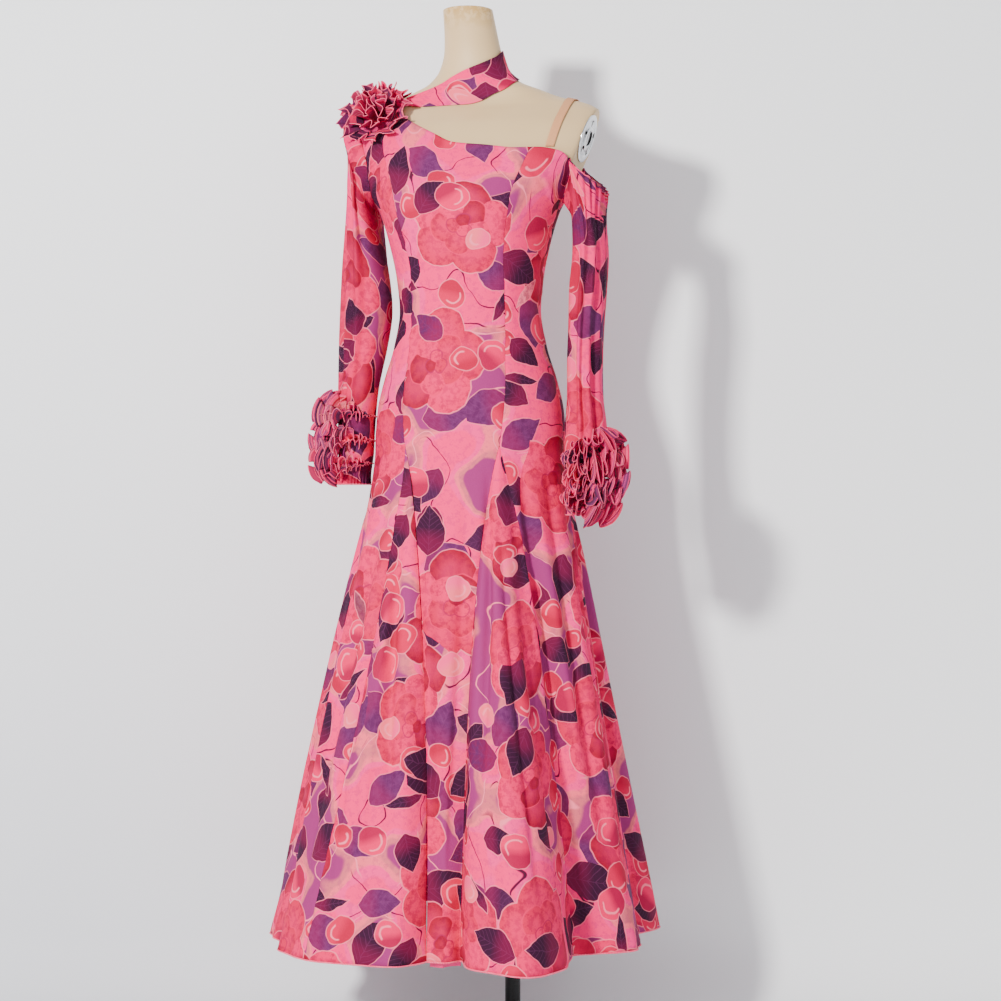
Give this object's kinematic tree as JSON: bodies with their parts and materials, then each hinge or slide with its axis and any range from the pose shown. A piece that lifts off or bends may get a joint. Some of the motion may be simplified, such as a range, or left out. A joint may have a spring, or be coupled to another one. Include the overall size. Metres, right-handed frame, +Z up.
{
  "type": "ballroom practice dress on a dress form",
  "caption": "One-shoulder printed ballroom practice dress with set-in godets, choker band, shoulder rosette and ruffled cuffs, standing on a limbless dress form with a round base",
  "frame": {"origin": "middle of the base's underside, on the floor", "axes": "+Z up, the dress faces -Y, the wearer's left is +X"},
  "size_m": [0.5847, 0.5936, 1.631],
  "materials": {
    "printed_crepe": "matte stretch crepe, floral print in pink, coral, plum and beige",
    "printed_sheer": "matte semi-sheer mesh in the same print, serged in pale pink",
    "pink_lining": "plain pink lining",
    "nude_elastic": "woven nude elastic",
    "form_shell": "cream, a little worn at the neck",
    "arm_plate_metal": "polished",
    "black_metal": "black, satin"
  },
  "bodies": {
    "root": {"centre_front": "printed_crepe", "side_front_left": "printed_crepe", "side_front_right": "printed_crepe", "side_back_left": "printed_crepe", "side_back_right": "printed_crepe", "centre_back": "printed_crepe", "godet_front_left": "printed_crepe", "godet_front_right": "printed_crepe", "godet_side_left": "printed_crepe", "godet_side_right": "printed_crepe", "godet_back_left": "printed_crepe", "godet_back_right": "printed_crepe", "choker_band": "printed_crepe", "sleeve_left": "printed_sheer", "sleeve_right": "printed_sheer", "rosette_backing": "printed_sheer", "rosette_strip_1": "printed_sheer", "rosette_strip_2": "printed_sheer", "rosette_strip_3": "printed_sheer", "rosette_strip_4": "printed_sheer", "cuff_ruffle_left_1": "printed_sheer", "cuff_ruffle_left_2": "printed_sheer", "cuff_ruffle_left_3": "printed_sheer", "cuff_ruffle_right_1": "printed_sheer", "cuff_ruffle_right_2": "printed_sheer", "cuff_ruffle_right_3": "printed_sheer", "lining_front": "pink_lining", "shoulder_strap": "nude_elastic", "form_torso": "form_shell", "arm_plate_left": "arm_plate_metal", "pole": "black_metal", "base": "black_metal"}
  },
  "joints": []
}
